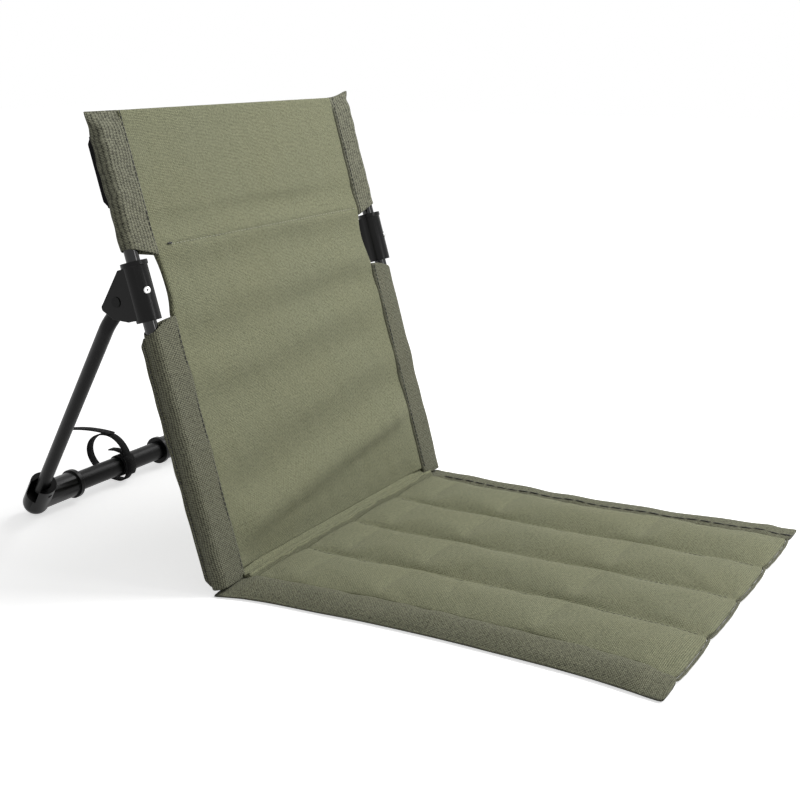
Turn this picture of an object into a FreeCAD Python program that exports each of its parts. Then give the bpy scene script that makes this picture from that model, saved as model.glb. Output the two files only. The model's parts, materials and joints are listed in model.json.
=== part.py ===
"""Legless folding camping chair: quilted seat pad, reclined cloth back on two tubes, rear prop stand.

Millimetres. X is the chair's width (+X is the sitter's left), the sitter faces -Y, +Z is up.
The origin is the centre of the seat pad's underside. The back is drawn upright, standing on its
rear line, and leaned by RECLINE into place. In the upright drawing +Y is the rear of the back.
"""
import FreeCAD
import Part
import math
import os

V = FreeCAD.Vector

# Seat pad
SEAT_LENGTH = 393.0          # front edge to the back's rear line
SEAT_HALF_REAR = 163.0       # centre to border seam at the crease
SEAT_HALF_MIDDLE = 154.0     # the sides draw in between the corners
SEAT_HALF_FRONT = 165.0
HEM_WIDTH = 33.0             # side hem outside the border seam
HEM_DRAW_IN = 3.0            # the hem narrows by this much half way along
HEM_INNER_HEIGHT = 6.0
HEM_EDGE_HEIGHT = 3.0
HEM_EDGE_ROUND = 1.0         # depth of the folded edge's round
HEM_PUFF = 0.75              # rise of the hem's middle over a straight slope
HEM_REAR_SETBACK = 8.0       # hem end to crease
CHANNELS = 4
SEAM_HEIGHT = 6.5            # top of the cloth at a channel seam
CROWN_MIDDLE = 17.5          # top of the cloth on a channel's crown
CROWN_SHOULDER = 14.5        # crown near the front and rear edges
CROWN_REAR = 10.5            # crown at the crease
EDGE_SEAM_HEIGHT = 3.2       # front edge
EDGE_CROWN_HEIGHT = 6.0
SHOULDER_RUN = 34.0          # length over which the pad rises from an edge
SCALLOP = 4.0                # how far a channel's end stands in front of its seams

# Cloth and foam
CLOTH = 1.0
LAYER_GAP = 0.25             # between sewn layers
SEW_GAP = 0.3                # between cloth pieces that are sewn edge to edge
FOAM_SIDE_GAP = 0.6
BACK_FOAM = 3.0

# Crease between seat and back
CREASE_HEIGHT = 12.0
CREASE_FORWARD = 10.4        # crease in front of the back's rear line
WELT_D = 5.0                 # rolled seam along the crease
WELT_MEET = 31.0             # degrees from its top to where the back's cloth meets it
CREASE_SWEEP = 0.25          # share of the cloth's forward sweep that is done half way down

# Back
RECLINE = 15.84              # degrees from upright
BACK_LENGTH = 417.0          # rear line to top edge, along the slope
PANEL_OVERHANG = 0.7         # the back is this much wider than the crease, each side
PANEL_HALF = SEAT_HALF_REAR + PANEL_OVERHANG
PANEL_FRONT = 4.75           # cloth face in front of the tube axes, between folds
PANEL_FOLD_START = 49.0
FOLD_DEPTH = 1.75
FOLD_ENDS = (79.0, 112.0, 147.0, 178.0, 205.0, 233.0, 262.0, 287.0, 308.0, 330.0)
PANEL_REAR_START = 16.0
FOAM_TOP_MARGIN = 8.0
NOTCH_DEPTH = 5.0            # the cloth's edge curves in beside a bracket

# Back tubes
TUBE_D = 12.0
TUBE_WALL = 1.0
SLEEVE_REACH = 26.3          # sewn edge of the panel to a tube's axis
TUBE_HALF_SPACING = PANEL_HALF + SLEEVE_REACH
TUBE_FOOT = 8.0              # rear line to lower end
TUBE_TOP_MARGIN = 22.0       # upper end below the top edge
CAP_FLANGE = 2.0
CAP_PLUG = 12.0
PLUG_GAP = 0.1

# Cloth sleeves on the tubes
SLEEVE_GAP = 0.4
SLEEVE_FOOT = 13.0
SLEEVE_LIP = 1.2             # half thickness at the sewn edge
SLEEVE_SLANT = 10.0          # the sleeve ends slope towards the notch
EAR_RISE = 6.0               # pointed top corners
GAP_CENTRE = 265.5           # middle of the gap that shows the bracket
GAP_LENGTH = 72.0

# Brackets on the tubes
BRACKET_LENGTH = 51.0
BRACKET_D = 21.6
BRACKET_GAP = 0.1
BRACKET_WIDTH = 20.4
BRACKET_LIP = 0.8
BRACKET_LIP_HEIGHT = 4.0
PIVOT_UP = 262.0             # rear line to leg pivot, along the slope
PIVOT_BACK = 21.0            # tube axis to leg pivot
PIVOT_WALL = 3.0             # housing outside the leg's rear edge
MOUTH_REACH = 17.5           # pivot to the housing's mouth
HOUSING_ROUND = 3.8          # rounding of the housing's rear corners
RIVET_D = 3.2
RIVET_HEAD_D = 6.2
RIVET_HEAD = 1.4
RIVET_ROUND = 0.6            # share of the head's height that is rounded
RIVET_BORE_D = 1.8
RIVET_TURN = 23.0            # degrees from straight ahead, towards the outside
RIVET_GAP = 0.05

# Stand
LEG_D = 13.0
LEG_WALL = 1.2
LEG_GAP = 0.3                # leg to housing, each side
LEG_TOP = 8.0                # leg end beyond its pivot
LEG_BEND_AT = 31.0           # pivot to the bend, along the leg
LEG_BEND_R = 40.0
PIN_D = 5.0
PIN_GAP = 0.05
PIN_HEAD_D = 9.0
PIN_HEAD = 0.8
STAND_REACH = 284.0          # rear line to crossbar, along the floor
BAR_HEIGHT = 18.0
BAR_D = 20.0
BAR_WALL = 1.2
BAR_INSERT = 27.0
FOOT_HALF_SPACING = 118.0
COLLAR_HALF_SPACING = 65.5   # centre to a collar's inner end
COLLAR_D = 26.0
COLLAR_RIM_D = 30.0
COLLAR_RIM = 5.0
FIT_GAP = 0.05
BOOT_D = 26.0
BOOT_UP = 27.0               # boot's mouth above the corner, along the leg
BOOT_FLAT = 0.4              # depth cut flat where it stands
LEG_END = 15.0               # leg's end above the corner
RECESS_END = 8.0             # recess floor above the corner
RECESS_GAP = 0.6
FOOT_PIN_D = 4.0
FOOT_PIN_UP = 20.0

# Tie strap on the crossbar
STRAP_WIDTH = 10.0
STRAP_THICK = 1.5
STRAP_AT = 6.0               # middle of the strap along the bar
STRAP_LOOP_WIDTH = 54.0
STRAP_LOOP_RISE = 23.0       # above the bar's surface
STRAP_LOOP_HANG = 6.5        # below the bar's surface
STRAP_LOOP_BULGE = 11.0      # rearmost point above the bar's axis
STRAP_TAIL = 54.0
STRAP_TAIL_SAG = 3.0

# Worked out from the above
REAR_LINE_Y = SEAT_LENGTH / 2
CREASE_Y = REAR_LINE_Y - CREASE_FORWARD
LEAN = math.radians(RECLINE)
TUBE_R = TUBE_D / 2
LEG_R = LEG_D / 2
BAR_R = BAR_D / 2
BOOT_R = BOOT_D / 2
WELT_R = WELT_D / 2
SLEEVE_R = TUBE_R + SLEEVE_GAP + CLOTH
PIN_R = PIN_D / 2
UP = V(0, math.sin(LEAN), math.cos(LEAN))
AHEAD = V(0, -math.cos(LEAN), math.sin(LEAN))
CREASE_UP = CREASE_HEIGHT * math.cos(LEAN) - CREASE_FORWARD * math.sin(LEAN)
CREASE_AHEAD = CREASE_HEIGHT * math.sin(LEAN) + CREASE_FORWARD * math.cos(LEAN)
PIVOT = V(TUBE_HALF_SPACING, REAR_LINE_Y, 0) + UP * PIVOT_UP - AHEAD * PIVOT_BACK
BAR_Y = REAR_LINE_Y + STAND_REACH
DROP = V(0, BAR_Y - PIVOT.y, BAR_HEIGHT - PIVOT.z)
LEG_RUN = DROP.Length
LEG_WAY = DROP / LEG_RUN
LEG_TURN = math.atan2(TUBE_HALF_SPACING - FOOT_HALF_SPACING, LEG_RUN - LEG_BEND_AT)
STAND_ANGLE = math.acos(-(LEG_WAY.dot(UP)))
OUT = V(1, 0, 0)
FOOT_WAY = LEG_WAY * math.cos(LEG_TURN) - OUT * math.sin(LEG_TURN)
FOOT_OUT = OUT * math.cos(LEG_TURN) + LEG_WAY * math.sin(LEG_TURN)
STAND_NORMAL = OUT.cross(LEG_WAY)
CORNER = V(FOOT_HALF_SPACING, BAR_Y, BAR_HEIGHT)


def line(a, b):
    return Part.LineSegment(V(*a), V(*b)).toShape()


def arc(a, middle, b):
    return Part.Arc(V(*a), V(*middle), V(*b)).toShape()


def face_of(edges):
    return Part.Face(Part.Wire(edges))


def polygon(points):
    corners = [V(*p) for p in points]
    return Part.Face(Part.makePolygon(corners + corners[:1]))


def cylinder(start, way, radius, length):
    return Part.makeCylinder(radius, length, start, way)


def tube(start, way, radius, wall, length):
    return cylinder(start, way, radius, length).cut(cylinder(start, way, radius - wall, length))


def mirrored(shape):
    return shape.mirror(V(0, 0, 0), V(1, 0, 0))


def leaned(shape):
    """Moves a piece drawn upright on the rear line to its place on the back."""
    moved = shape.copy()
    moved.rotate(V(0, 0, 0), V(1, 0, 0), -RECLINE)
    moved.translate(V(0, REAR_LINE_Y, 0))
    return moved


def save(name, *solids):
    shape = solids[0] if len(solids) == 1 else Part.makeCompound(list(solids))
    for solid in shape.Solids:
        print(name, "valid" if solid.isValid() else "NOT VALID", round(solid.Volume, 1))
    shape.exportStep("parts/" + name + ".step")


def save_pair(name, left):
    save(name + "_left", left)
    save(name + "_right", mirrored(left))


def seat_stations():
    """Rows across the seat from front to crease: y, half width, seam and crown heights, forward tilt."""
    front = -SEAT_LENGTH / 2 + SCALLOP
    rear = CREASE_Y - WELT_R - SEW_GAP
    middle = (front + rear) / 2
    sag_front = SEAT_HALF_FRONT - SEAT_HALF_MIDDLE
    sag_rear = SEAT_HALF_REAR - SEAT_HALF_MIDDLE
    tilt = SCALLOP / (EDGE_CROWN_HEIGHT - EDGE_SEAM_HEIGHT)

    def half_at(y):
        part = (middle - y) / (middle - front)
        sag = sag_front if part > 0 else sag_rear
        return SEAT_HALF_MIDDLE + sag * part * part

    rows = [(front, EDGE_SEAM_HEIGHT, EDGE_CROWN_HEIGHT, tilt)]
    rows += [(front + SHOULDER_RUN, SEAM_HEIGHT, CROWN_SHOULDER, 0)]
    rows += [((front + middle) / 2, SEAM_HEIGHT, CROWN_MIDDLE, 0)]
    rows += [(middle, SEAM_HEIGHT, CROWN_MIDDLE, 0)]
    rows += [((rear + middle) / 2, SEAM_HEIGHT, CROWN_MIDDLE, 0)]
    rows += [(rear - SHOULDER_RUN, SEAM_HEIGHT, CROWN_SHOULDER, 0)]
    rows += [(rear, SEAM_HEIGHT, CROWN_REAR, 0)]
    return [(y, half_at(y), seam, crown, lean) for y, seam, crown, lean in rows]


def seam_places(half):
    return [half * (2 * i / CHANNELS - 1) for i in range(CHANNELS + 1)]


def tilted(y, seam, lean):
    """Places points of a row whose plane leans forwards above its seams."""
    return lambda x, z: (x, y - lean * (z - seam), z)


def seat_top_cloth():
    wires = []
    for y, half, seam, crown, lean in seat_stations():
        at = tilted(y, seam, lean)
        places = seam_places(half)
        pairs = list(zip(places[:-1], places[1:]))
        low = seam - CLOTH
        edges = [arc(at(a, seam), at((a + b) / 2, crown), at(b, seam)) for a, b in pairs]
        edges.append(line(at(half, seam), at(half, low)))
        edges += [arc(at(b, low), at((a + b) / 2, crown - CLOTH), at(a, low)) for a, b in pairs[::-1]]
        edges.append(line(at(-half, low), at(-half, seam)))
        wires.append(Part.Wire(edges))
    return Part.makeLoft(wires, True, True)


def seat_foam_strip(number):
    floor = CLOTH + LAYER_GAP
    lid = CLOTH + LAYER_GAP
    wires = []
    for y, half, seam, crown, lean in seat_stations():
        at = tilted(y, seam, lean)
        places = seam_places(half)
        a = places[number] + FOAM_SIDE_GAP
        b = places[number + 1] - FOAM_SIDE_GAP
        top = seam - lid
        edges = [line(at(a, floor), at(b, floor)), line(at(b, floor), at(b, top))]
        edges.append(arc(at(b, top), at((a + b) / 2, crown - lid), at(a, top)))
        edges.append(line(at(a, top), at(a, floor)))
        wires.append(Part.Wire(edges))
    return Part.makeLoft(wires, True, True)


def seat_base_cloth():
    stations = seat_stations()
    right = [V(-half, y, 0) for y, half, seam, crown, lean in stations]
    left = [V(half, y, 0) for y, half, seam, crown, lean in stations[::-1]]
    return polygon(right + left).extrude(V(0, 0, CLOTH))


def seat_hem():
    stations = seat_stations()
    front = stations[0][0]
    rear = CREASE_Y - HEM_REAR_SETBACK
    middle = (front + rear) / 2
    wires = []
    for y, half, seam, crown, lean in stations[:-1] + [(rear, stations[-1][1]) + stations[-1][2:]]:
        along = (y - middle) / (rear - middle)
        inner = half + SEW_GAP
        outer = half + HEM_WIDTH - HEM_DRAW_IN * (1 - along * along)
        edge = HEM_EDGE_HEIGHT
        top = min(HEM_INNER_HEIGHT, seam)
        shoulder = outer - HEM_EDGE_ROUND
        crest = ((inner + shoulder) / 2, y, (top + edge) / 2 + HEM_PUFF)
        edges = [line((inner, y, 0), (shoulder, y, 0))]
        edges.append(arc((shoulder, y, 0), (outer, y, edge / 2), (shoulder, y, edge)))
        edges.append(arc((shoulder, y, edge), crest, (inner, y, top)))
        edges.append(line((inner, y, top), (inner, y, 0)))
        wires.append(Part.Wire(edges))
    return Part.makeLoft(wires, True, True)


def crease_welt():
    start = V(-SEAT_HALF_REAR, CREASE_Y, CREASE_HEIGHT)
    return cylinder(start, OUT, WELT_R, 2 * SEAT_HALF_REAR)


def fold_edges(depth, x, top, upward):
    """The back's soft folds as arcs, from the first fold up to a straight run at the top."""
    y = depth - PANEL_FRONT
    starts = (PANEL_FOLD_START,) + FOLD_ENDS[:-1]
    edges = []
    for number, (low, high) in enumerate(zip(starts, FOLD_ENDS)):
        crest = FOLD_DEPTH if number % 2 else -FOLD_DEPTH
        ends = (x, y, low), (x, y + crest, (low + high) / 2), (x, y, high)
        edges.append(arc(*(ends if upward else ends[::-1])))
    straight = (x, y, FOLD_ENDS[-1]), (x, y, top)
    edges.append(line(*(straight if upward else straight[::-1])))
    return edges if upward else edges[::-1]


def panel_sheet(depth, thick, top, foot_edges):
    """One layer of the back panel: its folded outline drawn along the slope and run across the width."""
    x = -PANEL_HALF
    back = depth + thick
    front_edges = fold_edges(depth, x, top, True)
    rear_edges = fold_edges(back, x, top, False)
    lid = line((x, depth - PANEL_FRONT, top), (x, back - PANEL_FRONT, top))
    outline = front_edges + [lid] + rear_edges + foot_edges(x, depth - PANEL_FRONT, back - PANEL_FRONT)
    sheet = face_of(outline).extrude(V(2 * PANEL_HALF, 0, 0))
    return sheet.cut(notch(1)).cut(notch(-1))


def notch(side):
    """The curved bite out of the panel's edge beside a bracket."""
    half = GAP_LENGTH / 2 - SLEEVE_SLANT
    radius = (half * half + NOTCH_DEPTH * NOTCH_DEPTH) / (2 * NOTCH_DEPTH)
    reach = 4 * TUBE_D
    start = V(side * (PANEL_HALF - NOTCH_DEPTH + radius), -reach / 2, GAP_CENTRE)
    return cylinder(start, V(0, 1, 0), radius, reach)


def square_foot(x, front, back):
    return [line((x, back, PANEL_FOLD_START), (x, front, PANEL_FOLD_START))]


def straight_foot(x, front, back):
    low = PANEL_REAR_START
    edges = [line((x, back, PANEL_FOLD_START), (x, back, low)), line((x, back, low), (x, front, low))]
    return edges + [line((x, front, low), (x, front, PANEL_FOLD_START))]


def crease_foot(x, front, back):
    """The front cloth's lower end sweeps forward to the rolled seam."""
    reach = WELT_R + SEW_GAP
    meet = math.radians(WELT_MEET)
    toe_y = reach * math.sin(meet) - CREASE_AHEAD
    toe_z = reach * math.cos(meet) + CREASE_UP
    waist_y = front + (toe_y - front) * CREASE_SWEEP
    waist_z = (PANEL_FOLD_START + toe_z) / 2
    thick = back - front
    edges = [arc((x, back, PANEL_FOLD_START), (x, waist_y + thick, waist_z), (x, toe_y + thick, toe_z))]
    edges.append(line((x, toe_y + thick, toe_z), (x, toe_y, toe_z)))
    edges.append(arc((x, toe_y, toe_z), (x, waist_y, waist_z), (x, front, PANEL_FOLD_START)))
    return edges


def tangent_point(point, centre, radius, side):
    """Where a line from the point touches the circle, on the side with the given sign of y."""
    away = point - centre
    angle = math.acos(radius / away.Length)
    base = math.atan2(away.y, away.x)
    return centre + V(math.cos(base + side * angle), math.sin(base + side * angle), 0) * radius


def teardrop(radius, tip_x, tip_half):
    centre = V(TUBE_HALF_SPACING, 0, 0)
    tip_y = -PANEL_FRONT
    ahead = V(tip_x, tip_y - tip_half, 0)
    behind = V(tip_x, tip_y + tip_half, 0)
    front = tangent_point(ahead, centre, radius, 1)
    rear = tangent_point(behind, centre, radius, -1)
    edge = centre + OUT * radius
    front_middle = centre + ((front - centre) + (edge - centre)).normalize() * radius
    rear_middle = centre + ((rear - centre) + (edge - centre)).normalize() * radius
    edges = [line(ahead, front), arc(front, front_middle, edge), arc(edge, rear_middle, rear)]
    return face_of(edges + [line(rear, behind), line(behind, ahead)])


def sleeve(ends):
    """A cloth sleeve round a tube, trimmed to four corners: inner low, outer low, outer top, inner top."""
    inner = PANEL_HALF + SEW_GAP
    outer = TUBE_HALF_SPACING + SLEEVE_R + CLOTH
    tall = 2 * BACK_LENGTH
    room = teardrop(SLEEVE_R - CLOTH, inner + CLOTH, SLEEVE_GAP / 2)
    cloth = teardrop(SLEEVE_R, inner, SLEEVE_LIP).cut(room).extrude(V(0, 0, tall))
    deep = 4 * TUBE_D
    places = (inner - CLOTH, outer, outer, inner - CLOTH)
    trim = polygon([(x, -deep / 2, z) for x, z in zip(places, ends)]).extrude(V(0, deep, 0))
    return leaned(cloth.common(trim))


def back_tube():
    length = BACK_LENGTH - TUBE_TOP_MARGIN - TUBE_FOOT
    pipe = tube(V(TUBE_HALF_SPACING, 0, TUBE_FOOT), V(0, 0, 1), TUBE_R, TUBE_WALL, length)
    return leaned(pipe.cut(rivet_hole(RIVET_D / 2 + RIVET_GAP)))


def tube_cap(end, way):
    plug = TUBE_R - TUBE_WALL - PLUG_GAP
    start = V(TUBE_HALF_SPACING, 0, end)
    inside = V(0, 0, -way)
    flange = cylinder(start, V(0, 0, way), TUBE_R, CAP_FLANGE)
    return leaned(flange.fuse(cylinder(start, inside, plug, CAP_PLUG)))


def rivet_way():
    turn = math.radians(RIVET_TURN)
    return V(math.sin(turn), -math.cos(turn), 0)


def rivet_hole(radius):
    return cylinder(V(TUBE_HALF_SPACING, 0, GAP_CENTRE), rivet_way(), radius, BRACKET_D)


def bracket_rivet():
    """A hollow rivet through the bracket's sleeve and the tube's wall, with a domed head."""
    way = rivet_way()
    axis = V(TUBE_HALF_SPACING, 0, GAP_CENTRE)
    seat = BRACKET_D / 2
    tail = TUBE_R - TUBE_WALL
    head = cylinder(axis + way * seat, way, RIVET_HEAD_D / 2, RIVET_HEAD)
    rim = [edge for edge in head.Edges if edge.CenterOfMass.isEqual(axis + way * (seat + RIVET_HEAD), 0.01)]
    head = head.makeFillet(RIVET_HEAD * RIVET_ROUND, rim)
    body = head.fuse(cylinder(axis + way * tail, way, RIVET_D / 2, seat - tail))
    return leaned(body.cut(cylinder(axis, way, RIVET_BORE_D / 2, BRACKET_D)))


def housing_outline(x):
    """Side view of the bracket's web, from its lip down the rear wall to the leg's mouth and the arch."""
    top = GAP_CENTRE + BRACKET_LENGTH / 2 - BRACKET_LIP_HEIGHT
    foot = GAP_CENTRE - BRACKET_LENGTH / 2
    sleeve_r = BRACKET_D / 2
    along = V(0, math.sin(STAND_ANGLE), -math.cos(STAND_ANGLE))
    across = V(0, math.cos(STAND_ANGLE), math.sin(STAND_ANGLE))
    pivot = V(0, PIVOT_BACK, PIVOT_UP)
    rear_low = pivot + along * MOUTH_REACH + across * (LEG_R + LEG_GAP + PIVOT_WALL)
    mouth = pivot + along * (MOUTH_REACH - PIVOT_WALL) - across * LEG_R
    rear_high = pivot + along * (MOUTH_REACH - 2 * PIVOT_WALL) + across * (LEG_R + LEG_GAP + PIVOT_WALL)
    arch = foot + PIVOT_WALL
    points = [(0, top), (sleeve_r, top), (rear_high.y, rear_high.z), (rear_low.y, rear_low.z)]
    points += [(mouth.y, mouth.z), (sleeve_r + PIVOT_WALL, arch), (0, arch)]
    return [(x, y, z) for y, z in points]


def leg_slot():
    """Room for the leg between the bracket's cheeks, from open to folded against the back."""
    half = LEG_R + LEG_GAP
    corner = math.hypot(LEG_TOP, LEG_R) + LEG_GAP
    start = V(TUBE_HALF_SPACING - half, PIVOT_BACK, PIVOT_UP)
    room = cylinder(start, OUT, corner, 2 * half)
    reach = 3 * MOUTH_REACH
    along = V(0, math.sin(STAND_ANGLE), -math.cos(STAND_ANGLE))
    across = V(0, math.cos(STAND_ANGLE), math.sin(STAND_ANGLE))
    high = start + across * half
    wedge = [high, high + along * reach, start + V(0, -half, -reach), start + V(0, -half, 0)]
    return room.fuse(polygon([tuple(p) for p in wedge]).extrude(OUT * (2 * half)))


def bracket():
    low = GAP_CENTRE - BRACKET_LENGTH / 2
    axis = V(TUBE_HALF_SPACING, 0, low)
    up = V(0, 0, 1)
    body = cylinder(axis, up, BRACKET_D / 2, BRACKET_LENGTH)
    lip = axis + up * (BRACKET_LENGTH - BRACKET_LIP_HEIGHT)
    body = body.fuse(cylinder(lip, up, BRACKET_D / 2 + BRACKET_LIP, BRACKET_LIP_HEIGHT))
    outline = housing_outline(TUBE_HALF_SPACING - BRACKET_WIDTH / 2)
    web = polygon(outline).extrude(OUT * BRACKET_WIDTH)
    corners = [V(*point) + OUT * (BRACKET_WIDTH / 2) for point in outline[2:4]]
    web = web.makeFillet(HOUSING_ROUND, [edge for edge in web.Edges if any(
        edge.CenterOfMass.isEqual(corner, 0.01) for corner in corners)])
    body = body.fuse(web).cut(leg_slot())
    body = body.cut(cylinder(axis, up, TUBE_R + BRACKET_GAP, BRACKET_LENGTH))
    pin = V(TUBE_HALF_SPACING - BRACKET_WIDTH, PIVOT_BACK, PIVOT_UP)
    body = body.cut(cylinder(pin, OUT, PIN_R + PIN_GAP, 2 * BRACKET_WIDTH))
    return leaned(body.cut(rivet_hole(RIVET_D / 2 + RIVET_GAP)).removeSplitter())


def leg_pin():
    start = PIVOT - OUT * (BRACKET_WIDTH / 2)
    pin = cylinder(start, OUT, PIN_R, BRACKET_WIDTH)
    head = cylinder(PIVOT + OUT * (BRACKET_WIDTH / 2), OUT, PIN_HEAD_D / 2, PIN_HEAD)
    return pin.fuse([head, cylinder(start, -OUT, PIN_HEAD_D / 2, PIN_HEAD)])


def leg():
    """A tube that leaves the bracket square to its pin and bends inwards to its foot."""
    trim = LEG_BEND_R * math.tan(LEG_TURN / 2)
    bend_start = PIVOT + LEG_WAY * (LEG_BEND_AT - trim)
    bend_end = PIVOT + LEG_WAY * LEG_BEND_AT + FOOT_WAY * trim
    top = PIVOT - LEG_WAY * LEG_TOP
    straight = tube(top, LEG_WAY, LEG_R, LEG_WALL, (bend_start - top).Length)
    ring = Part.Face([
        Part.Wire(Part.makeCircle(LEG_R, bend_start, LEG_WAY)),
        Part.Wire(Part.makeCircle(LEG_R - LEG_WALL, bend_start, LEG_WAY))])
    centre = bend_start - OUT * LEG_BEND_R
    bend = ring.revolve(centre, LEG_WAY.cross(-OUT), math.degrees(LEG_TURN))
    length = (CORNER - bend_end).Length - LEG_END
    shank = tube(bend_end, FOOT_WAY, LEG_R, LEG_WALL, length)
    body = straight.fuse([bend, shank]).removeSplitter()
    body = body.cut(cylinder(PIVOT - OUT * LEG_D, OUT, PIN_R + PIN_GAP, 2 * LEG_D))
    return body.cut(foot_pin_hole())


def foot_pin_hole():
    middle = CORNER - FOOT_WAY * FOOT_PIN_UP
    return cylinder(middle - STAND_NORMAL * BOOT_D, STAND_NORMAL, FOOT_PIN_D / 2 + FIT_GAP, 2 * BOOT_D)


def foot_pin():
    middle = CORNER - FOOT_WAY * FOOT_PIN_UP
    length = 2 * (BOOT_R - PIN_HEAD)
    return cylinder(middle - STAND_NORMAL * (length / 2), STAND_NORMAL, FOOT_PIN_D / 2, length)


def foot():
    """A moulded corner: a boot with an open recess for the leg, and a collar for the crossbar."""
    tip_z = BOOT_R - BOOT_FLAT
    tip = CORNER + FOOT_WAY * ((tip_z - BAR_HEIGHT) / FOOT_WAY.z)
    mouth = CORNER - FOOT_WAY * BOOT_UP
    body = cylinder(mouth, FOOT_WAY, BOOT_R, (tip - mouth).Length).fuse(Part.makeSphere(BOOT_R, tip))
    inner = V(COLLAR_HALF_SPACING, BAR_Y, BAR_HEIGHT)
    collar = cylinder(inner, OUT, COLLAR_D / 2, FOOT_HALF_SPACING - COLLAR_HALF_SPACING)
    body = body.fuse([collar, cylinder(inner, OUT, COLLAR_RIM_D / 2, COLLAR_RIM)])
    body = body.cut(cylinder(inner, OUT, BAR_R + FIT_GAP, BAR_INSERT + FIT_GAP))
    half = LEG_R + RECESS_GAP
    depth = BOOT_UP - RECESS_END
    low = CORNER - FOOT_WAY * RECESS_END - STAND_NORMAL * half
    recess = polygon([tuple(low), tuple(low - FOOT_WAY * 2 * depth),
                      tuple(low - FOOT_WAY * 2 * depth + FOOT_OUT * BOOT_D), tuple(low + FOOT_OUT * BOOT_D)])
    body = body.cut(recess.extrude(STAND_NORMAL * (2 * half)))
    body = body.cut(cylinder(CORNER - FOOT_WAY * RECESS_END, -FOOT_WAY, half, 2 * depth))
    body = body.cut(foot_pin_hole())
    big = 2 * BOOT_D
    ground = Part.makeBox(2 * big, 2 * big, big, V(FOOT_HALF_SPACING - big, BAR_Y - big, -big))
    return body.cut(ground)


def crossbar():
    half = COLLAR_HALF_SPACING + BAR_INSERT
    return tube(V(-half, BAR_Y, BAR_HEIGHT), OUT, BAR_R, BAR_WALL, 2 * half)


def strap_loop(inset):
    """Outline of the loose loop from above the bar's axis: four quarter ellipses, each drawn as an arc."""
    wrap_r = BAR_R + FIT_GAP + STRAP_THICK
    rear_y = STRAP_LOOP_WIDTH - wrap_r
    front = V(0, inset - wrap_r, 0)
    top = V(0, rear_y - STRAP_LOOP_WIDTH / 2, BAR_R + STRAP_LOOP_RISE - inset)
    rear = V(0, rear_y - inset, STRAP_LOOP_BULGE)
    low = V(0, 0, inset - BAR_R - STRAP_LOOP_HANG)

    def quarter(a, b, centre):
        middle = centre + (a + b - centre * 2) * math.sqrt(0.5)
        return arc(a, middle, b)

    edges = [quarter(front, top, V(0, top.y, front.z)), quarter(top, rear, V(0, top.y, rear.z))]
    edges += [quarter(rear, low, V(0, low.y, rear.z)), quarter(low, front, V(0, low.y, front.z))]
    return face_of(edges), top


def tie_strap():
    """Webbing wound once round the crossbar, then a loose loop over it and a free tail to the rear."""
    wrap_r = BAR_R + FIT_GAP + STRAP_THICK
    wrap = tube(V(0, 0, 0), OUT, wrap_r, STRAP_THICK, STRAP_WIDTH)
    outer, top = strap_loop(0)
    inner, root = strap_loop(STRAP_THICK)
    loop = outer.cut(inner).extrude(OUT * STRAP_WIDTH)
    crest = root + V(0, STRAP_TAIL / 2, STRAP_TAIL_SAG / 2)
    tip = root + V(0, STRAP_TAIL, -STRAP_TAIL_SAG)
    thick = top - root
    edges = [arc(root, crest, tip), line(tip, tip + thick)]
    edges += [arc(tip + thick, crest + thick, top), line(top, root)]
    tail = face_of(edges).extrude(OUT * STRAP_WIDTH)
    strap = wrap.fuse([loop, tail]).removeSplitter()
    strap.translate(V(STRAP_AT - STRAP_WIDTH / 2, BAR_Y, BAR_HEIGHT))
    return strap


def main():
    os.makedirs("parts", exist_ok=True)

    save("seat_top_cloth", seat_top_cloth())
    for number in range(CHANNELS):
        save("seat_foam_strip_%d" % (number + 1), seat_foam_strip(number))
    save("seat_base_cloth", seat_base_cloth())
    save_pair("seat_hem", seat_hem())
    save("crease_welt", crease_welt())

    rear_depth = CLOTH + BACK_FOAM + 2 * LAYER_GAP
    save("back_front_cloth", leaned(panel_sheet(0, CLOTH, BACK_LENGTH, crease_foot)))
    foam_top = BACK_LENGTH - FOAM_TOP_MARGIN
    save("back_foam", leaned(panel_sheet(CLOTH + LAYER_GAP, BACK_FOAM, foam_top, square_foot)))
    save("back_rear_cloth", leaned(panel_sheet(rear_depth, CLOTH, BACK_LENGTH, straight_foot)))
    gap_low = GAP_CENTRE - GAP_LENGTH / 2
    gap_high = GAP_CENTRE + GAP_LENGTH / 2
    slant = SLEEVE_SLANT
    save_pair("lower_sleeve", sleeve((SLEEVE_FOOT, SLEEVE_FOOT, gap_low, gap_low + slant)))
    save_pair("upper_sleeve", sleeve((gap_high - slant, gap_high, BACK_LENGTH + EAR_RISE, BACK_LENGTH)))

    save_pair("back_tube", back_tube())
    save_pair("tube_foot_cap", tube_cap(TUBE_FOOT, -1))
    save_pair("tube_top_cap", tube_cap(BACK_LENGTH - TUBE_TOP_MARGIN, 1))
    save_pair("bracket", bracket())
    save("bracket_rivets", bracket_rivet(), mirrored(bracket_rivet()))
    save_pair("leg_pin", leg_pin())

    save_pair("leg", leg())
    save_pair("foot", foot())
    save("foot_pins", foot_pin(), mirrored(foot_pin()))
    save("crossbar", crossbar())
    save("tie_strap", tie_strap())

    print("pivot", [round(c, 2) for c in PIVOT], "crease", round(CREASE_Y, 2), CREASE_HEIGHT)
    print("stand angle", round(math.degrees(STAND_ANGLE), 2), "leg turn", round(math.degrees(LEG_TURN), 2))


main()
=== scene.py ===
"""Looks of a legless folding camping chair, dressed round its solids.

Metres. X is the chair's width (+X is the sitter's left), the sitter faces -Y, +Z is up.
"""
import json
import math

import bmesh
import bpy
import numpy as np
from mathutils import Matrix, Vector


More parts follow.
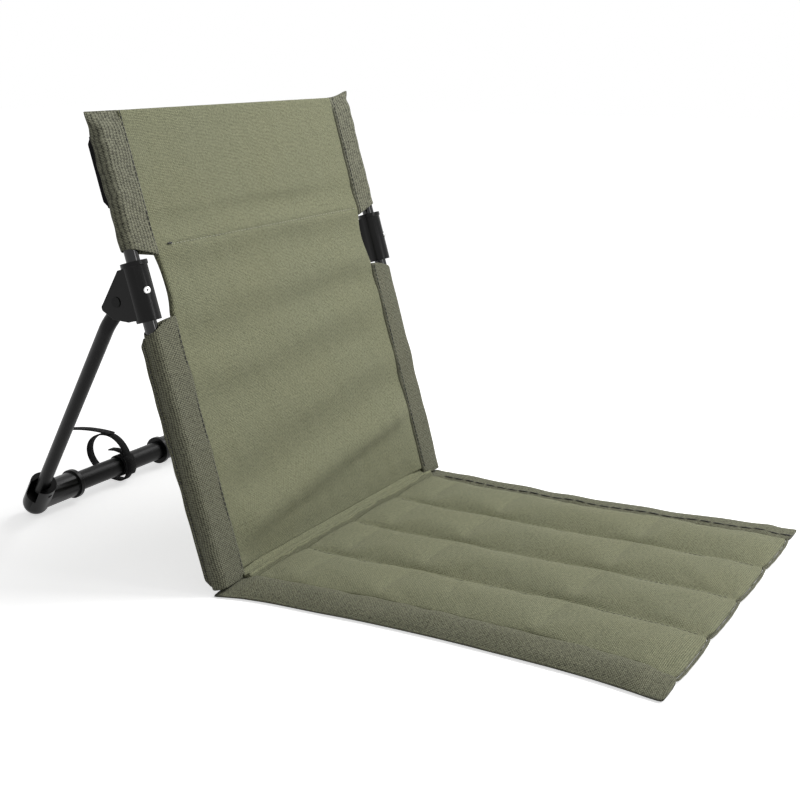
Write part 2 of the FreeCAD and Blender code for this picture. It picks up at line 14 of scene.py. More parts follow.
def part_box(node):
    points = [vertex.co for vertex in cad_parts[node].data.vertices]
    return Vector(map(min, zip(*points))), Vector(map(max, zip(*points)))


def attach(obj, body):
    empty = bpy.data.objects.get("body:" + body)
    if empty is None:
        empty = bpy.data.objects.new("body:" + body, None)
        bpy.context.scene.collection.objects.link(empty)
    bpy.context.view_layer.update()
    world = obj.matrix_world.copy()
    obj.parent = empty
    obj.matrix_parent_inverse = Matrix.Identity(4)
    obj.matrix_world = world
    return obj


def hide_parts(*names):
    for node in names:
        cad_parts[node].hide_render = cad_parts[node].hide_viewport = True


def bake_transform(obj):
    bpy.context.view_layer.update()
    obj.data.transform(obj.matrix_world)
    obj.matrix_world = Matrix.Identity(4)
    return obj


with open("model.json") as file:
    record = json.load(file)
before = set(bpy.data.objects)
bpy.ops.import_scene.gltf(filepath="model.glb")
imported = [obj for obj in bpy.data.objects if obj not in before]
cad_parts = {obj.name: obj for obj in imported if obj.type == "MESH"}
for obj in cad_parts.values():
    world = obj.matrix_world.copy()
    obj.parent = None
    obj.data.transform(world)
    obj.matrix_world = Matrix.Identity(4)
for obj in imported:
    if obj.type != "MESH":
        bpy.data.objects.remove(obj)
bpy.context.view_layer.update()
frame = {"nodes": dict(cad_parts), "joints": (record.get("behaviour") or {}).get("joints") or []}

# Camera
CAMERA_PLACE = (-1.0275, -0.45496, 0.44676)
CAMERA_AZIMUTH = math.radians(-60.35)
CAMERA_ELEVATION = math.radians(14.746)
CAMERA_ROLL = -0.005
LENS = 59.39
NEAR_CLIP = 0.01

# Floor and sky. What is looked at glows to white, and what only gives light stays lower
FLOOR_HALF = 8
FLOOR_HEIGHT = -0.0004
FLOOR_TONE = 0.86
FLOOR_GLOW = 0.62
SKY_LIGHT = 0.29
SKY_SEEN = 1.0

# The crease and the back's slope
CREASE = Vector(frame["joints"][0]["pos_m"])
CREASE_FORWARD = 0.0104
LEAN = math.radians(15.84)
REAR_LINE_Y = CREASE.y + CREASE_FORWARD
UP = (0, math.sin(LEAN), math.cos(LEAN))
AHEAD = (0, -math.cos(LEAN), math.sin(LEAN))

# Seat pad. Its keys are shares of its length from the front
CHANNELS = 4
CHANNEL_STEPS = 16
SEAT_ROWS = 79
SEAT_HALF_FRONT = 0.165
SEAT_HALF_MIDDLE = 0.154
SEAT_HALF_REAR = 0.163
SCALLOP = 0.004
SCALLOP_REACH = 0.012
SCALLOP_POWER = 0.6
CROWN_KEYS = (0.0, 0.09, 0.3, 0.7, 0.91, 1.0)
CROWN_HEIGHTS = (0.0065, 0.013, 0.0155, 0.0155, 0.0135, 0.0108)
SEAM_KEYS = (0.0, 0.09, 0.9, 1.0)
SEAM_HEIGHTS = (0.0034, 0.0048, 0.0048, 0.0072)
NEAR_BORDER_RISES = (0.001, 0.0042, 0.0042, 0.0)
SEAM_SHARPNESS = 0.85
BULGE_POWER = 0.42
PAD_START = 0.74
PAD_PRESSURE = 4.0
PAD_SLACK = 0.008
PAD_LIMIT = 0.006
SIM_STEPS = 20
UNDERSIDE_HEIGHT = 0.0006
UNDERSIDE_SHARE = 0.995
UNDERSIDE_INSET = 0.002
UNDERSIDE_REACH = 0.004

# Rolled front edge of the pad
LIP_R = 0.0013
LIP_HEIGHT = 0.0024
LIP_STEPS = 161
LIP_SIDES = 8
LIP_POWER = 0.25
LIP_UNEVEN = 0.15

# Hems beside the seat. Their section is given by shares of the width, and by
# heights: the near hem is puffed up and the far one lies flat
HEM_WIDTH = 0.033
HEM_DRAW_IN = 0.003
HEM_OVERLAP = 0.002
HEM_REAR = REAR_LINE_Y + 0.004
HEM_STEPS = 90
HEM_SHARES = np.array((0.0, 0.05, 0.2, 0.4, 0.6, 0.8, 0.92, 0.96, 0.985, 1.0, 0.97, 0.9, 0.5, 0.0))
HEM_EDGE = (0.0043, 0.0031, 0.0032, 0.0022, 0.0006, 0.0002, 0.0002, 0.0002)
HEM_NEAR = np.array((0.0092, 0.0099, 0.0112, 0.0107, 0.0092, 0.0068, *HEM_EDGE))
HEM_FAR = np.array((0.0052, 0.0058, 0.0076, 0.0082, 0.0078, 0.0064, *HEM_EDGE))
HEM_UNDERSIDE = 0.0002
HEM_SEAM_POINT = 2
HEM_FRONT_REACH = 0.02
HEM_FRONT_SHARE = 0.6
HEM_TAIL = 0.025
HEM_TAIL_OUT = 0.004
HEM_TAIL_IN = 0.012
HEM_TAIL_DROP = 0.62
HEM_WAVE = 0.0009
HEM_UNEVEN = 0.1

# Back panel
BACK_LENGTH = 0.417
PANEL_ROWS = 112
PANEL_COLUMNS = 73
PANEL_HALF = 0.1637
PANEL_TUCK = 0.0012
PANEL_FRONT = 0.00475
PANEL_REAR = -0.00085
PANEL_THINNEST = 0.0015
PANEL_TOE_UP = 0.0111
PANEL_REAR_START = 0.016
FOLD_START = 0.049
FOLD_ENDS = (0.079, 0.112, 0.147, 0.178, 0.205, 0.233, 0.262, 0.287, 0.308, 0.330)
FOLD_DEPTH = 0.0027
FOLD_SLANT = 0.16
FOLD_SLANT_TOP = 0.3
FOLD_EDGE = 0.03
FOLD_EDGE_SHARE = 0.35
FOLD_EVEN = 0.75
FOLD_UNEVEN = 0.35
REAR_FOLD_SHARE = 0.4
BELLY_UP = 0.064
BELLY_DEPTH = 0.0056
BELLY_REACH = 0.018
HOLLOW_DEPTH = 0.0036
HOLLOW_EDGE = 0.025
HOLLOW_KEYS = (0, 0.4, 1)
HOLLOW_SHARES = (0, 0.3, 1)
WRINKLE_DEPTH = 0.00035
CROSS_SEAM_UP = 0.299
CROSS_SEAM_ENDS = (-0.145, 0.153)
CROSS_SEAM_DEPTH = 0.0011
CROSS_SEAM_REACH = 0.002
CROSS_SEAM_ROWS = np.array((-0.003, -0.0015, 0, 0.0015, 0.003))
NOTCH_MIDDLE = 0.2655
NOTCH_HALF = 0.026
NOTCH_DEPTH = 0.005

# Sleeves on the tubes
TUBE_X = 0.190
SLEEVE_R = 0.0074
SLEEVE_LIP = 0.0016
SLEEVE_TUCK = 0.0015
SLEEVE_STEPS = 40
SLEEVE_LEAD_STEPS = 4
SLEEVE_ROWS = 70
SLEEVE_FOOT = 0.005
SLEEVE_GAP_LOW = 0.2295
SLEEVE_GAP_HIGH = 0.3015
SLEEVE_SLANT = 0.010
SLEEVE_LIFT = 0.0004
CLOTH_THICK = 0.001
CRUMPLE = 0.0006
EAR_RISE_LEFT = 0.006
EAR_RISE_RIGHT = 0.0
EAR_FLATTEN = 0.019
EAR_AHEAD = 0.002
EAR_LAYER = 0.0008

# Sewn edges behind the sleeves. Their section is given by shares of width and thickness
FLANGE_WIDTH = 0.0055
FLANGE_THICK = 0.0022
FLANGE_TURN = math.radians(52)
FLANGE_ROWS = 80
FLANGE_OUT = np.array((-0.4, 0.0, 0.55, 0.9, 1.0, 0.9, 0.55, 0.0, -0.4))
FLANGE_SIDE = np.array((1.0, 1.0, 0.8, 0.85, 0.0, -0.85, -0.8, -1.0, -1.0))
FLANGE_SEAM_POINT = 2
FLANGE_END = 0.006
FLANGE_END_SHARE = 0.3
FLANGE_UNEVEN = 0.12
FLANGE_LOW_GAP = 0.003
FLANGE_HIGH_GAP = 0.002
# A thin black strip that stands off the outer rear of each upper sleeve
BLACK_STRIP_ENDS = (0.338, 0.398)
BLACK_STRIP_WIDTH = 0.0034

# Cover of the crease. Places in its section are Y and Z
COVER_STEPS = 90
COVER_HALF = SEAT_HALF_REAR + 0.004
COVER_WOBBLE = 0.0006
COVER_WOBBLE_FROM = 0.01
WELT_R = 0.0017
WELT_TURNS = np.radians((200, 165, 130, 95, 60, 25))
WELT_MIDDLE = np.array((CREASE.y, CREASE.z + 0.001))
WELT_SINK = np.array((CREASE.y + 0.001, CREASE.z - 0.001))
WELT_SINK_SHARE = 0.6
WELT_SINK_FROM = 0.11
WELT_SINK_REACH = 0.05
COVER_VALLEY = np.array((CREASE.y + 0.0065, CREASE.z - 0.005))
COVER_TOE_AHEAD, COVER_TOE_UP = 0.0008, 0.0128
COVER_HEEL_AHEAD, COVER_HEEL_UP = PANEL_REAR - 0.0016, 0.020

# Tie strap on the crossbar. Knot and stub are Y and Z from the bar's middle
STRAP_X = 0.006
STRAP_WIDTH = 0.010
STRAP_THICK = 0.0015
STRAP_RIM = 0.3
STRAP_CLEARANCE = 0.0001
STRAP_STEPS = 14
STRAP_LOOP_WIDTH = 0.054
STRAP_LOOP_RISE = 0.023
STRAP_LOOP_HANG = 0.0065
STRAP_LOOP_BULGE = 0.011
STRAP_LOOP_END = np.array((0.0003, 0.006))
STRAP_TAIL = 0.054
STRAP_TAIL_LAP = 0.006
STRAP_TAIL_LIFT = 0.9
STRAP_TAIL_SAG = 0.003
STRAP_TAIL_STEPS = 24
WRAP_STEPS = 40
WRAP_WIDTH = 1.15 * STRAP_WIDTH
KNOT = np.array((
    (-0.0125, -0.0075), (-0.0145, -0.003), (-0.015, 0.002), (-0.0138, 0.007), (-0.0105, 0.0115)))
KNOT_WIDTH = 1.35 * STRAP_WIDTH
KNOT_THICK = 3 * STRAP_THICK
STUB = np.array(((-0.009, 0.0128), (-0.003, 0.0152), (0.005, 0.0165), (0.013, 0.0158)))
STUB_WIDTH = 0.9 * STRAP_WIDTH

# Stitches
STITCH_PITCH = 0.0046
STITCH_LENGTH = 0.0036
STITCH_THICK = 0.0008
STITCH_LIFT = 0.0002
BORDER_STITCH = {"pitch": 0.0125, "length": 0.0126, "thick": 0.0012}
EDGE_STITCH = {"length": 0.0045, "thick": 0.001}
EDGE_STITCH_OUT = 0.0015
EDGE_STITCH_AHEAD_LEFT = 0.002
EDGE_STITCH_AHEAD_RIGHT = 0.0017
EDGE_STITCH_FOOT = 0.016
EDGE_STITCH_GAP = 0.006
EDGE_STITCH_TOP = BACK_LENGTH - 0.003
TACK_STITCH = {"pitch": 0.0017, "length": 0.0024, "thick": 0.0018}
TACK_ENDS = (CROSS_SEAM_ENDS[0] - 0.004, CROSS_SEAM_ENDS[0] + 0.001)
TACK_AHEAD = 0.0006
TACK_UP = 0.001
CROSS_STITCH_AHEAD = 0.0004

# Moulded pieces
EDGE_ROUND = 0.0004
EDGE_SEGMENTS = 2
WELD_DISTANCE = 1e-6
FLAT_ANGLE = math.radians(1)
SHARP_ANGLE = math.radians(35)
BEVEL_ANGLE = math.radians(40)

# Grain of the materials. Scales are of noise over metres
WANDER_SCALE, WANDER = 45.0, 0.003
SLUB_SCALE = 420.0
MOTTLE_SIZE, MOTTLE_DETAIL = 0.09, 4.0
THREAD_LIGHT = 0.55
WARM_TINT = (1.03, 1.0, 0.93)
# Painted shade along the hems' lower edge, where they meet the floor: its fade over height and its darkest tone
SHADE_EDGE_FADE, SHADE_EDGE_TONE = 0.0006, 0.3
GRAIN_SCALE, GLOSS_SCALE, GLOSS_CHANGE = 900.0, 60.0, 0.12
BLACK_RANGE = (0.8, 1.25)
MARK_SCALE, MARK_GLOSS, MARK_TONE = 1500.0, 0.15, 0.9
TWIST_SCALE, TWIST_TONE = 2600.0, 0.7


def on_back(x, ahead, up):
    """Points on the leaned back: across, in front of the tube axes, and up from the rear line."""
    x, ahead, up = np.broadcast_arrays(x, ahead, up)
    y = REAR_LINE_Y + up * UP[1] + ahead * AHEAD[1]
    return np.stack([x, y, up * UP[2] + ahead * AHEAD[2]], axis=-1)


def eased(t, places, values):
    """A value that eases from one key to the next."""
    p, v = np.array(places), np.array(values)
    i = np.clip(np.searchsorted(p, t, side="right") - 1, 0, len(p) - 2)
    part = np.clip((t - p[i]) / (p[i + 1] - p[i]), 0, 1)
    return v[i] + (v[i + 1] - v[i]) * part * part * (3 - 2 * part)


def ripples(a, b, seed, longest, waves=7):
    """Seeded soft unevenness over two coordinates, about -1 to 1."""
    random = np.random.default_rng(seed)
    total = 0
    for _ in range(waves):
        way, phase = random.uniform(0, 2 * math.pi, 2)
        length = longest * random.uniform(0.35, 1)
        total = total + np.sin(2 * math.pi * (a * math.cos(way) + b * math.sin(way)) / length + phase)
    return total / math.sqrt(2 * waves)


def lengths(path):
    """Distance of each point along a path from its start."""
    return np.concatenate([[0], np.cumsum(np.linalg.norm(np.diff(path, axis=0), axis=1))])


# Meshes

def mesh_piece(name, points, faces, uv=None, edges=()):
    mesh = bpy.data.meshes.new(name)
    mesh.from_pydata(np.asarray(points).reshape(-1, 3).tolist(), list(edges), faces)
    if uv is not None:
        corners = np.empty(len(mesh.loops), int)
        mesh.loops.foreach_get("vertex_index", corners)
        layer = mesh.uv_layers.new(name="cloth")
        layer.data.foreach_set("uv", uv.reshape(-1, 2)[corners].astype(np.float32).ravel())
    mesh.polygons.foreach_set("use_smooth", [True] * len(mesh.polygons))
    mesh.update()
    piece = bpy.data.objects.new(name, mesh)
    bpy.context.scene.collection.objects.link(piece)
    return piece


def grid_faces(rows, cols, start=0, flip=False, wrap=False):
    faces = []
    for r in range(rows - 1):
        for c in range(cols if wrap else cols - 1):
            d = (c + 1) % cols
            low, high = start + r * cols, start + (r + 1) * cols
            face = (low + c, low + d, high + d, high + c)
            faces.append(face[::-1] if flip else face)
    return faces


def slab(name, top, bottom, uv):
    """A closed piece from two sheets of one grid, joined round their edges."""
    rows, cols = top.shape[:2]
    count = rows * cols
    edge = list(range(cols))
    edge += [r * cols + cols - 1 for r in range(1, rows)]
    edge += [count - 1 - c for c in range(1, cols)]
    edge += [r * cols for r in range(rows - 2, 0, -1)]
    faces = grid_faces(rows, cols) + grid_faces(rows, cols, count, flip=True)
    faces += [(b, a, a + count, b + count) for a, b in zip(edge, edge[1:] + edge[:1])]
    return mesh_piece(name, np.concatenate([top, bottom]), faces, np.concatenate([uv, uv]))


def hose_faces(rows, cols, start=0, capped=True):
    """Faces round a row of closed rings, with its ends closed if capped."""
    faces = grid_faces(rows, cols, start, wrap=True)
    if capped:
        last = start + (rows - 1) * cols
        faces += [tuple(range(start, start + cols))[::-1], tuple(range(last, last + cols))]
    return faces


def hose(name, rings, uv, capped=True):
    """A piece from a row of closed rings."""
    piece = mesh_piece(name, rings, hose_faces(*rings.shape[:2], capped=capped), uv)
    outward(piece)
    return piece


def outward(piece):
    sheet = bmesh.new()
    sheet.from_mesh(piece.data)
    bmesh.ops.recalc_face_normals(sheet, faces=sheet.faces)
    sheet.to_mesh(piece.data)
    sheet.free()


def rounded(piece, levels=1):
    smooth = piece.modifiers.new("rounding", "SUBSURF")
    smooth.levels = levels
    smooth.render_levels = levels


def spread(points, axis):
    """Distance along a grid's rows or columns, for cloth that lies true to its own length."""
    steps = np.linalg.norm(np.diff(points, axis=axis), axis=-1)
    start = np.zeros_like(np.take(steps, [0], axis=axis))
    return np.concatenate([start, np.cumsum(steps, axis=axis)], axis=axis)


def dress(piece, material, body, slot, *nodes):
    """Material and body of a piece, and the nodes that it stands for, if any. The slot is not used."""
    piece.data.materials.clear()
    piece.data.materials.append(material)
    if body:
        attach(piece, body)
    if nodes:
        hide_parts(*nodes)
    return piece


# Materials

def math_node(tree, operation, a, b=None):
    node = tree.nodes.new("ShaderNodeMath")
    node.operation = operation
    for socket, value in zip(node.inputs, (a, b)):
        if isinstance(value, bpy.types.NodeSocket):
            tree.links.new(value, socket)
        elif value is not None:
            socket.default_value = value
    return node.outputs[0]


def noise_node(tree, vector, scale, detail=3.0):
    node = tree.nodes.new("ShaderNodeTexNoise")
    node.inputs["Scale"].default_value = scale
    node.inputs["Detail"].default_value = detail
    tree.links.new(vector, node.inputs["Vector"])
    return node.outputs["Fac"]


def split_node(tree, vector):
    node = tree.nodes.new("ShaderNodeSeparateXYZ")
    tree.links.new(vector, node.inputs[0])
    return node.outputs


def group_of(name, inputs, outputs):
    tree = bpy.data.node_groups.new(name, "ShaderNodeTree")
    for label, kind in inputs:
        tree.interface.new_socket(label, in_out="INPUT", socket_type=kind)
    for label, kind in outputs:
        tree.interface.new_socket(label, in_out="OUTPUT", socket_type=kind)
    return tree, tree.nodes.new("NodeGroupInput").outputs, tree.nodes.new("NodeGroupOutput").inputs


def weave_group():
    """Plain weave: threads pass over and under, with a little unevenness. Height and tone, 0 to 1."""
    value = "NodeSocketFloat"
    tree, given, result = group_of(
        "plain_weave", [("Cloth", "NodeSocketVector"), ("Pitch", value), ("Slub", value)],
        [("Height", value), ("Tone", value)])
    wander = noise_node(tree, given["Cloth"], WANDER_SCALE)
    slub = noise_node(tree, given["Cloth"], SLUB_SCALE, 1.0)
    place = split_node(tree, given["Cloth"])
    waves = []
    for axis in "XY":
        shifted = math_node(tree, "ADD", place[axis], math_node(tree, "MULTIPLY", wander, WANDER))
        turns = math_node(tree, "DIVIDE", math_node(tree, "MULTIPLY", shifted, math.pi), given["Pitch"])
        waves.append(math_node(tree, "SINE", turns))
    over = math_node(tree, "GREATER_THAN", math_node(tree, "MULTIPLY", *waves), 0.0)
    under = math_node(tree, "SUBTRACT", 1.0, over)
    warp = math_node(tree, "MULTIPLY", math_node(tree, "ABSOLUTE", waves[0]), over)
    weft = math_node(tree, "MULTIPLY", math_node(tree, "ABSOLUTE", waves[1]), under)
    height = math_node(tree, "ADD", warp, weft)
    rough = math_node(tree, "MULTIPLY", math_node(tree, "SUBTRACT", slub, 0.5), given["Slub"])
    tree.links.new(height, result["Height"])
    tree.links.new(math_node(tree, "ADD", height, rough), result["Tone"])
    return tree


def mottle_group():
    """Broad soft change of tone over a piece, 0 to 1."""
    value = "NodeSocketFloat"
    tree, given, result = group_of(
        "mottle", [("Place", "NodeSocketVector"), ("Size", value)], [("Tone", value)])
    node = tree.nodes.new("ShaderNodeTexNoise")
    node.inputs["Detail"].default_value = MOTTLE_DETAIL
    tree.links.new(given["Place"], node.inputs["Vector"])
    tree.links.new(math_node(tree, "DIVIDE", 1.0, given["Size"]), node.inputs["Scale"])
    tree.links.new(node.outputs["Fac"], result["Tone"])
    return tree


WEAVE = weave_group()
MOTTLE = mottle_group()


def material_of(name, **sockets):
    material = bpy.data.materials.new(name)
    material.use_nodes = True
    shader = material.node_tree.nodes["Principled BSDF"]
    for label, value in sockets.items():
        shader.inputs[label.replace("_", " ")].default_value = value
    return material, material.node_tree, shader


def coordinate(tree, output):
    return tree.nodes.new("ShaderNodeTexCoord").outputs[output]


def placed(tree, group, vector, **values):
    node = tree.nodes.new("ShaderNodeGroup")
    node.node_tree = group
    tree.links.new(vector, node.inputs[0])
    for label, value in values.items():
        node.inputs[label].default_value = value
    return node.outputs


def between(tree, factor, dark, light):
    """A colour between two, by a factor."""
    node = tree.nodes.new("ShaderNodeMix")
    node.data_type = "RGBA"
    tree.links.new(factor, node.inputs["Factor"])
    for socket, colour in zip((node.inputs[6], node.inputs[7]), (dark, light)):
        if isinstance(colour, bpy.types.NodeSocket):
            tree.links.new(colour, socket)
        else:
            socket.default_value = (*colour, 1)
    return node.outputs[2]


def bumped(tree, shader, height, depth):
    bump = tree.nodes.new("ShaderNodeBump")
    bump.inputs["Distance"].default_value = depth
    bump.inputs["Strength"].default_value = 1.0
    tree.links.new(height, bump.inputs["Height"])
    tree.links.new(bump.outputs[0], shader.inputs["Normal"])


def woven(name, colour, pitch, contrast, slub, depth, ribs=1.0, painted_shade_below=None):
    """Woven polyester: thread relief, darker gaps between threads, a broad mottle and maybe painted shade along
    the lower edge, as contact shadow below a given height.
    """
    material, tree, shader = material_of(
        name, Roughness=0.82, Sheen_Weight=0.08, Sheen_Roughness=0.5, Specular_IOR_Level=0.1)
    lay = tree.nodes.new("ShaderNodeVectorMath")
    lay.operation = "MULTIPLY"
    lay.inputs[1].default_value = (ribs, 1, 1)
    tree.links.new(coordinate(tree, "UV"), lay.inputs[0])
    weave = placed(tree, WEAVE, lay.outputs[0], Pitch=pitch, Slub=slub)
    mottle = placed(tree, MOTTLE, coordinate(tree, "Object"), Size=MOTTLE_SIZE)
    shade = [c * (1 - contrast) for c in colour]
    light = [c * (1 + contrast * THREAD_LIGHT) for c in colour]
    warm = [c * f for c, f in zip(light, WARM_TINT)]
    threads = between(tree, weave["Tone"], shade, light)
    warm_threads = between(tree, weave["Tone"], shade, warm)
    cover = between(tree, mottle["Tone"], threads, warm_threads)
    # Painted shade: the cloth darkens below a height, as contact shadow where it meets the floor
    if painted_shade_below:
        height = split_node(tree, coordinate(tree, "Object"))["Z"]
        rise = math_node(tree, "DIVIDE", math_node(tree, "SUBTRACT", height, painted_shade_below), SHADE_EDGE_FADE)
        cover = between(tree, rise, [c * SHADE_EDGE_TONE for c in colour], cover)
    tree.links.new(cover, shader.inputs["Base Color"])
    bumped(tree, shader, weave["Height"], depth)
    return material


def hard_black(name, tone, roughness, grain, **sockets):
    """Black paint or moulded plastic with a fine grain and uneven gloss."""
    material, tree, shader = material_of(name, **sockets)
    place = coordinate(tree, "Object")
    fine = noise_node(tree, place, GRAIN_SCALE)
    broad = noise_node(tree, place, GLOSS_SCALE)
    gloss = math_node(tree, "ADD", roughness, math_node(tree, "MULTIPLY", broad, GLOSS_CHANGE))
    tree.links.new(gloss, shader.inputs["Roughness"])
    dark, light = ([tone * share] * 3 for share in BLACK_RANGE)
    tree.links.new(between(tree, broad, dark, light), shader.inputs["Base Color"])
    bumped(tree, shader, fine, grain)
    return material


def steel(name, tone, roughness):
    material, tree, shader = material_of(name, Metallic=1.0)
    marks = noise_node(tree, coordinate(tree, "Object"), MARK_SCALE)
    gloss = math_node(tree, "ADD", roughness, math_node(tree, "MULTIPLY", marks, MARK_GLOSS))
    tree.links.new(gloss, shader.inputs["Roughness"])
    tree.links.new(between(tree, marks, [tone * MARK_TONE] * 3, [tone] * 3), shader.inputs["Base Color"])
    return material


def thread(name, colour):
    material, tree, shader = material_of(name, Roughness=0.6, Sheen_Weight=0.2)
    twist = noise_node(tree, coordinate(tree, "Object"), TWIST_SCALE, 1.0)
    dark = [c * TWIST_TONE for c in colour]
    tree.links.new(between(tree, twist, dark, colour), shader.inputs["Base Color"])
    return material


CLOTH_SAGE = woven("sage_cloth", (0.208, 0.216, 0.138),
                   pitch=0.0013, contrast=0.72, slub=0.8, depth=0.0003)
CLOTH_BORDER = woven("border_cloth", (0.147, 0.15, 0.108),
                     pitch=0.0015, contrast=1.0, slub=0.8, depth=0.0006, ribs=0.7)
CLOTH_RIB = woven("ribbed_cloth", (0.158, 0.161, 0.119),
                  pitch=0.0013, contrast=0.9, slub=1.2, depth=0.0006, ribs=0.33)
# The hems get painted shade along their lower edge, where they meet the floor
CLOTH_HEM = woven("hem_cloth", (0.162, 0.166, 0.115),
                  pitch=0.0013, contrast=0.85, slub=1.3, depth=0.0004, painted_shade_below=0.0018)
WEBBING = woven("black_webbing", (0.011, 0.011, 0.012),
                pitch=0.0011, contrast=0.5, slub=0.4, depth=0.00025)
THREAD_SAGE = thread("sage_thread", (0.36, 0.37, 0.27))
THREAD_SEAT = thread("seam_thread", (0.07, 0.072, 0.05))
THREAD_BLACK = thread("black_thread", (0.012, 0.012, 0.01))
TUBE_GLOSS = hard_black("gloss_tube", tone=0.003, roughness=0.06, grain=0.000004, Specular_IOR_Level=0.45)
TUBE_SATIN = hard_black("satin_tube", tone=0.004, roughness=0.3, grain=0.00001, Specular_IOR_Level=0.13)
PLASTIC = hard_black("satin_plastic", tone=0.003, roughness=0.24, grain=0.00002, Specular_IOR_Level=0.18)
STEEL = steel("rivet_steel", tone=0.75, roughness=0.2)
PIN_STEEL = steel("pin_steel", tone=0.016, roughness=0.35)


# Seat

seat_low, seat_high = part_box("seat_top_cloth")
SEAT_FRONT = seat_low.y + SCALLOP
SEAT_REAR = seat_high.y
SEAT_MIDDLE = (SEAT_FRONT + SEAT_REAR) / 2


def seat_half(y):
    """Half width of the pad: its sides draw in between the corners."""
    part = (SEAT_MIDDLE - y) / (SEAT_MIDDLE - SEAT_FRONT)
    ends = np.where(part > 0, SEAT_HALF_FRONT, SEAT_HALF_REAR)
    return SEAT_HALF_MIDDLE + (ends - SEAT_HALF_MIDDLE) * part * part


def channel_bulge(across, power):
    """Swelling of the channels across the pad: 0 on each seam, 1 between two."""
    return np.abs(np.sin(math.pi * CHANNELS / 2 * (across + 1))) ** power


def inflated(points, pinned):
    """Cloth held along its seams and blown up from below, as a short simulation kept as points."""
    rows, cols = points.shape[:2]
    sheet = mesh_piece("inflating_sheet", points, grid_faces(rows, cols))
    sheet.vertex_groups.new(name="sewn").add(pinned, 1.0, "REPLACE")
    cloth = sheet.modifiers.new("inflate", "CLOTH")
    cloth.settings.vertex_group_mass = "sewn"
    cloth.settings.quality = 6
    cloth.settings.mass = 0.25
    cloth.settings.bending_stiffness = 0.4
    cloth.settings.use_pressure = True
    cloth.settings.uniform_pressure_force = PAD_PRESSURE
    cloth.settings.shrink_min = -PAD_SLACK
    cloth.settings.effector_weights.gravity = 0
    cloth.collision_settings.use_collision = False
    for step in range(1, SIM_STEPS + 1):
        bpy.context.scene.frame_set(step)
    result = sheet.evaluated_get(bpy.context.evaluated_depsgraph_get())
    ended = np.array([v.co for v in result.data.vertices]).reshape(points.shape)
    bpy.data.objects.remove(sheet)
    bpy.context.scene.frame_set(1)
    moved = ended - points
    length = np.linalg.norm(moved, axis=-1, keepdims=True)
    return points + moved * np.minimum(1, PAD_LIMIT / np.maximum(length, 1e-9))


def seat_pad():
    """The quilted pad. Gives back the lines of its seams."""
    cols = CHANNELS * CHANNEL_STEPS + 1
    across, along = np.meshgrid(np.linspace(-1, 1, cols), np.linspace(0, 1, SEAT_ROWS))
    y = SEAT_FRONT + (SEAT_REAR - SEAT_FRONT) * along
    bulge = channel_bulge(across, BULGE_POWER)
    near_side = np.clip(1 - (1 + across) * CHANNELS / 2, 0, 1)
    seam = eased(along, SEAM_KEYS, SEAM_HEIGHTS) + near_side * eased(along, SEAM_KEYS, NEAR_BORDER_RISES)
    crown = eased(along, CROWN_KEYS, CROWN_HEIGHTS)
    x = across * seat_half(y)
    scalloped = y - SCALLOP * bulge ** SCALLOP_POWER * np.exp(-(y - SEAT_FRONT) / SCALLOP_REACH)
    top = np.stack([x, scalloped, seam + (crown - seam) * bulge * PAD_START], axis=-1)
    column = np.arange(cols) % CHANNEL_STEPS == 0
    held = np.zeros((SEAT_ROWS, cols), bool)
    held[:, column] = True
    held[[0, -1], :] = True
    top = inflated(top, np.flatnonzero(held).tolist())
    uv = np.stack([x, y], axis=-1)
    inset = UNDERSIDE_INSET * np.exp(-(y - SEAT_FRONT) / UNDERSIDE_REACH)
    bottom = np.stack(
        [x * UNDERSIDE_SHARE, scalloped + inset, np.full_like(x, UNDERSIDE_HEIGHT)], axis=-1)
    piece = slab("seat_pad", top, bottom, uv)
    seam_creases(piece, column, cols, SEAT_ROWS)
    rounded(piece)
    dress(piece, CLOTH_SAGE, "seat", "cloth", "seat_top_cloth", "seat_base_cloth",
          *["seat_foam_strip_%d" % (i + 1) for i in range(CHANNELS)])
    return top[:, column]


def seam_creases(piece, column, cols, rows):
    """Keeps the sewn lines sharp where the pad is rounded."""
    ends = np.empty(len(piece.data.edges) * 2, int)
    piece.data.edges.foreach_get("vertices", ends)
    ends = ends.reshape(-1, 2)
    on_seam = column[ends % cols].all(axis=1) & (ends < rows * cols).all(axis=1)
    same = (ends[:, 0] % cols) == (ends[:, 1] % cols)
    crease = piece.data.attributes.new("crease_edge", "FLOAT", "EDGE")
    crease.data.foreach_set("value", (on_seam & same).astype(np.float32) * SEAM_SHARPNESS)


def seat_hem(side, name, node, height):
    """A folded hem beside the pad. Gives back the line of its seam."""
    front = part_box(node)[0].y
    share = HEM_SHARES
    y = np.linspace(front - SCALLOP, HEM_REAR, HEM_STEPS)[:, None]
    along = (y - front) / (HEM_REAR - front) * 2 - 1
    tail = np.clip(1 - (HEM_REAR - y) / HEM_TAIL, 0, 1)
    inner = seat_half(y) - HEM_OVERLAP - HEM_TAIL_IN * tail
    outer = seat_half(y) + HEM_WIDTH - HEM_DRAW_IN * (1 - along * along) + HEM_TAIL_OUT * tail
    end = np.clip((y - front) / HEM_FRONT_REACH, HEM_FRONT_SHARE, 1) * (1 - HEM_TAIL_DROP * tail)
    wave = HEM_WAVE * ripples(y, share[None] * 0.02, 3 + side, 0.12)
    uneven = 1 + HEM_UNEVEN * ripples(y, share[None] * 0.05, 9 + side, 0.07)
    x = inner + (outer - inner) * share + wave * share
    z = HEM_UNDERSIDE + (height - HEM_UNDERSIDE) * end * uneven
    rings = np.stack([side * x, np.broadcast_to(y, x.shape), z], axis=-1)
    uv = np.stack([spread(rings, 1), np.broadcast_to(y, x.shape)], axis=-1)
    piece = hose(name, rings, uv)
    rounded(piece)
    dress(piece, CLOTH_HEM, None, "border_cloth", node)
    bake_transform(piece)
    return rings[:, HEM_SEAM_POINT]


